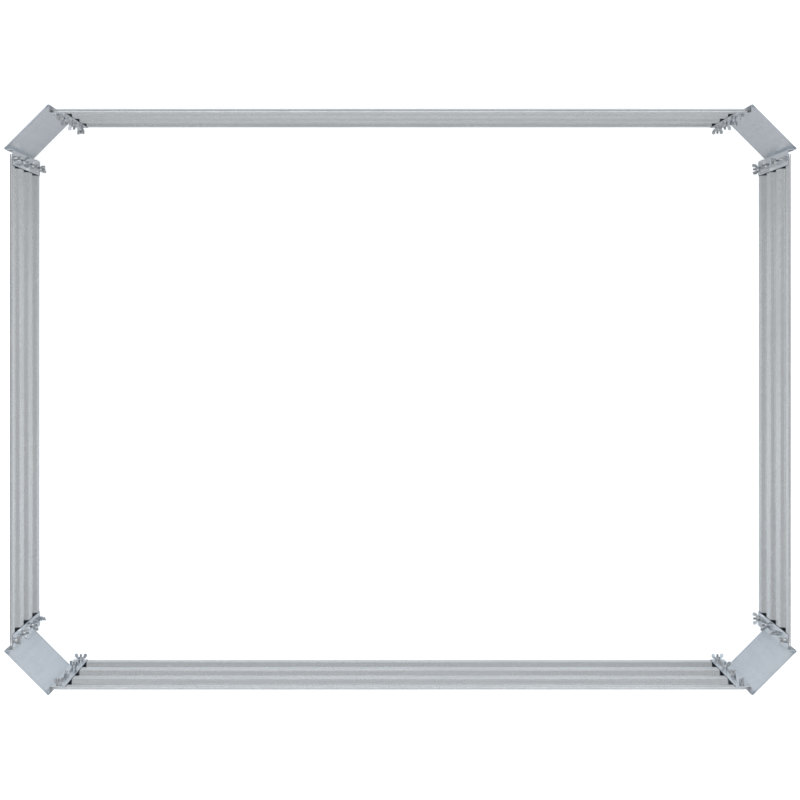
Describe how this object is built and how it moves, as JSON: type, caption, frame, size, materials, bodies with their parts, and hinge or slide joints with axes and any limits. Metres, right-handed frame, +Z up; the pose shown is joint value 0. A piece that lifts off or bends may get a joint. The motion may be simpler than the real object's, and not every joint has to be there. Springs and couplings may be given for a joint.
{
  "type": "raised garden bed frame",
  "caption": "Deep open rectangular frame of ribbed galvanised sheet walls and slanted corner pieces, bolted together with screws and wing nuts.",
  "frame": {"origin": "on the ground, at the middle of the frame", "axes": "+X along the long walls, +Y towards the back wall, +Z up"},
  "size_m": [1.2, 0.895, 0.3],
  "materials": {
    "ribbed_sheet": "galvanised sheet, fine spangle, semi-matt",
    "corner_sheet": "galvanised sheet, smooth, semi-gloss, slightly blue",
    "screw": "bright zinc plated",
    "washer": "bright zinc plated",
    "wing_nut": "cast, bright zinc plated"
  },
  "bodies": {
    "frame": {"wall_front": "ribbed_sheet", "wall_back": "ribbed_sheet", "wall_left": "ribbed_sheet", "wall_right": "ribbed_sheet", "corner_front_left": "corner_sheet", "corner_front_right": "corner_sheet", "corner_back_left": "corner_sheet", "corner_back_right": "corner_sheet", "screws_front_left": "screw", "washers_front_left": "washer", "screws_front_right": "screw", "washers_front_right": "washer", "screws_back_right": "screw", "washers_back_right": "washer", "screws_back_left": "screw", "washers_back_left": "washer", "screws_left_back": "screw", "washers_left_back": "washer", "screws_left_front": "screw", "washers_left_front": "washer", "screws_right_front": "screw", "washers_right_front": "washer", "screws_right_back": "screw", "washers_right_back": "washer"},
    "wingnut_front_left_1": {"wingnut_front_left_1": "wing_nut"},
    "wingnut_front_left_2": {"wingnut_front_left_2": "wing_nut"},
    "wingnut_front_left_3": {"wingnut_front_left_3": "wing_nut"},
    "wingnut_front_left_4": {"wingnut_front_left_4": "wing_nut"},
    "wingnut_front_right_1": {"wingnut_front_right_1": "wing_nut"},
    "wingnut_front_right_2": {"wingnut_front_right_2": "wing_nut"},
    "wingnut_front_right_3": {"wingnut_front_right_3": "wing_nut"},
    "wingnut_front_right_4": {"wingnut_front_right_4": "wing_nut"},
    "wingnut_back_right_1": {"wingnut_back_right_1": "wing_nut"},
    "wingnut_back_right_2": {"wingnut_back_right_2": "wing_nut"},
    "wingnut_back_right_3": {"wingnut_back_right_3": "wing_nut"},
    "wingnut_back_right_4": {"wingnut_back_right_4": "wing_nut"},
    "wingnut_back_left_1": {"wingnut_back_left_1": "wing_nut"},
    "wingnut_back_left_2": {"wingnut_back_left_2": "wing_nut"},
    "wingnut_back_left_3": {"wingnut_back_left_3": "wing_nut"},
    "wingnut_back_left_4": {"wingnut_back_left_4": "wing_nut"},
    "wingnut_left_back_1": {"wingnut_left_back_1": "wing_nut"},
    "wingnut_left_back_2": {"wingnut_left_back_2": "wing_nut"},
    "wingnut_left_back_3": {"wingnut_left_back_3": "wing_nut"},
    "wingnut_left_back_4": {"wingnut_left_back_4": "wing_nut"},
    "wingnut_left_front_1": {"wingnut_left_front_1": "wing_nut"},
    "wingnut_left_front_2": {"wingnut_left_front_2": "wing_nut"},
    "wingnut_left_front_3": {"wingnut_left_front_3": "wing_nut"},
    "wingnut_left_front_4": {"wingnut_left_front_4": "wing_nut"},
    "wingnut_right_front_1": {"wingnut_right_front_1": "wing_nut"},
    "wingnut_right_front_2": {"wingnut_right_front_2": "wing_nut"},
    "wingnut_right_front_3": {"wingnut_right_front_3": "wing_nut"},
    "wingnut_right_front_4": {"wingnut_right_front_4": "wing_nut"},
    "wingnut_right_back_1": {"wingnut_right_back_1": "wing_nut"},
    "wingnut_right_back_2": {"wingnut_right_back_2": "wing_nut"},
    "wingnut_right_back_3": {"wingnut_right_back_3": "wing_nut"},
    "wingnut_right_back_4": {"wingnut_right_back_4": "wing_nut"}
  },
  "joints": [
    {"name": "wingnut_front_left_1_turn", "type": "hinge", "parent": "frame", "child": "wingnut_front_left_1", "pos_m": [-0.518, -0.4329, 0.0125], "axis": [0, 1, 0], "continuous": true},
    {"name": "wingnut_front_left_2_turn", "type": "hinge", "parent": "frame", "child": "wingnut_front_left_2", "pos_m": [-0.518, -0.4329, 0.102], "axis": [0, 1, 0], "continuous": true},
    {"name": "wingnut_front_left_3_turn", "type": "hinge", "parent": "frame", "child": "wingnut_front_left_3", "pos_m": [-0.518, -0.4329, 0.198], "axis": [0, 1, 0], "continuous": true},
    {"name": "wingnut_front_left_4_turn", "type": "hinge", "parent": "frame", "child": "wingnut_front_left_4", "pos_m": [-0.518, -0.4329, 0.2875], "axis": [0, 1, 0], "continuous": true},
    {"name": "wingnut_front_right_1_turn", "type": "hinge", "parent": "frame", "child": "wingnut_front_right_1", "pos_m": [0.518, -0.4329, 0.0125], "axis": [0, 1, 0], "continuous": true},
    {"name": "wingnut_front_right_2_turn", "type": "hinge", "parent": "frame", "child": "wingnut_front_right_2", "pos_m": [0.518, -0.4329, 0.102], "axis": [0, 1, 0], "continuous": true},
    {"name": "wingnut_front_right_3_turn", "type": "hinge", "parent": "frame", "child": "wingnut_front_right_3", "pos_m": [0.518, -0.4329, 0.198], "axis": [0, 1, 0], "continuous": true},
    {"name": "wingnut_front_right_4_turn", "type": "hinge", "parent": "frame", "child": "wingnut_front_right_4", "pos_m": [0.518, -0.4329, 0.2875], "axis": [0, 1, 0], "continuous": true},
    {"name": "wingnut_back_right_1_turn", "type": "hinge", "parent": "frame", "child": "wingnut_back_right_1", "pos_m": [0.518, 0.4329, 0.0125], "axis": [0, -1, 0], "continuous": true},
    {"name": "wingnut_back_right_2_turn", "type": "hinge", "parent": "frame", "child": "wingnut_back_right_2", "pos_m": [0.518, 0.4329, 0.102], "axis": [0, -1, 0], "continuous": true},
    {"name": "wingnut_back_right_3_turn", "type": "hinge", "parent": "frame", "child": "wingnut_back_right_3", "pos_m": [0.518, 0.4329, 0.198], "axis": [0, -1, 0], "continuous": true},
    {"name": "wingnut_back_right_4_turn", "type": "hinge", "parent": "frame", "child": "wingnut_back_right_4", "pos_m": [0.518, 0.4329, 0.2875], "axis": [0, -1, 0], "continuous": true},
    {"name": "wingnut_back_left_1_turn", "type": "hinge", "parent": "frame", "child": "wingnut_back_left_1", "pos_m": [-0.518, 0.4329, 0.0125], "axis": [0, -1, 0], "continuous": true},
    {"name": "wingnut_back_left_2_turn", "type": "hinge", "parent": "frame", "child": "wingnut_back_left_2", "pos_m": [-0.518, 0.4329, 0.102], "axis": [0, -1, 0], "continuous": true},
    {"name": "wingnut_back_left_3_turn", "type": "hinge", "parent": "frame", "child": "wingnut_back_left_3", "pos_m": [-0.518, 0.4329, 0.198], "axis": [0, -1, 0], "continuous": true},
    {"name": "wingnut_back_left_4_turn", "type": "hinge", "parent": "frame", "child": "wingnut_back_left_4", "pos_m": [-0.518, 0.4329, 0.2875], "axis": [0, -1, 0], "continuous": true},
    {"name": "wingnut_left_back_1_turn", "type": "hinge", "parent": "frame", "child": "wingnut_left_back_1", "pos_m": [-0.5854, 0.3655, 0.0125], "axis": [1, 0, 0], "continuous": true},
    {"name": "wingnut_left_back_2_turn", "type": "hinge", "parent": "frame", "child": "wingnut_left_back_2", "pos_m": [-0.5854, 0.3655, 0.102], "axis": [1, 0, 0], "continuous": true},
    {"name": "wingnut_left_back_3_turn", "type": "hinge", "parent": "frame", "child": "wingnut_left_back_3", "pos_m": [-0.5854, 0.3655, 0.198], "axis": [1, 0, 0], "continuous": true},
    {"name": "wingnut_left_back_4_turn", "type": "hinge", "parent": "frame", "child": "wingnut_left_back_4", "pos_m": [-0.5854, 0.3655, 0.2875], "axis": [1, 0, 0], "continuous": true},
    {"name": "wingnut_left_front_1_turn", "type": "hinge", "parent": "frame", "child": "wingnut_left_front_1", "pos_m": [-0.5854, -0.3655, 0.0125], "axis": [1, 0, 0], "continuous": true},
    {"name": "wingnut_left_front_2_turn", "type": "hinge", "parent": "frame", "child": "wingnut_left_front_2", "pos_m": [-0.5854, -0.3655, 0.102], "axis": [1, 0, 0], "continuous": true},
    {"name": "wingnut_left_front_3_turn", "type": "hinge", "parent": "frame", "child": "wingnut_left_front_3", "pos_m": [-0.5854, -0.3655, 0.198], "axis": [1, 0, 0], "continuous": true},
    {"name": "wingnut_left_front_4_turn", "type": "hinge", "parent": "frame", "child": "wingnut_left_front_4", "pos_m": [-0.5854, -0.3655, 0.2875], "axis": [1, 0, 0], "continuous": true},
    {"name": "wingnut_right_front_1_turn", "type": "hinge", "parent": "frame", "child": "wingnut_right_front_1", "pos_m": [0.5854, -0.3655, 0.0125], "axis": [-1, 0, 0], "continuous": true},
    {"name": "wingnut_right_front_2_turn", "type": "hinge", "parent": "frame", "child": "wingnut_right_front_2", "pos_m": [0.5854, -0.3655, 0.102], "axis": [-1, 0, 0], "continuous": true},
    {"name": "wingnut_right_front_3_turn", "type": "hinge", "parent": "frame", "child": "wingnut_right_front_3", "pos_m": [0.5854, -0.3655, 0.198], "axis": [-1, 0, 0], "continuous": true},
    {"name": "wingnut_right_front_4_turn", "type": "hinge", "parent": "frame", "child": "wingnut_right_front_4", "pos_m": [0.5854, -0.3655, 0.2875], "axis": [-1, 0, 0], "continuous": true},
    {"name": "wingnut_right_back_1_turn", "type": "hinge", "parent": "frame", "child": "wingnut_right_back_1", "pos_m": [0.5854, 0.3655, 0.0125], "axis": [-1, 0, 0], "continuous": true},
    {"name": "wingnut_right_back_2_turn", "type": "hinge", "parent": "frame", "child": "wingnut_right_back_2", "pos_m": [0.5854, 0.3655, 0.102], "axis": [-1, 0, 0], "continuous": true},
    {"name": "wingnut_right_back_3_turn", "type": "hinge", "parent": "frame", "child": "wingnut_right_back_3", "pos_m": [0.5854, 0.3655, 0.198], "axis": [-1, 0, 0], "continuous": true},
    {"name": "wingnut_right_back_4_turn", "type": "hinge", "parent": "frame", "child": "wingnut_right_back_4", "pos_m": [0.5854, 0.3655, 0.2875], "axis": [-1, 0, 0], "continuous": true}
  ]
}
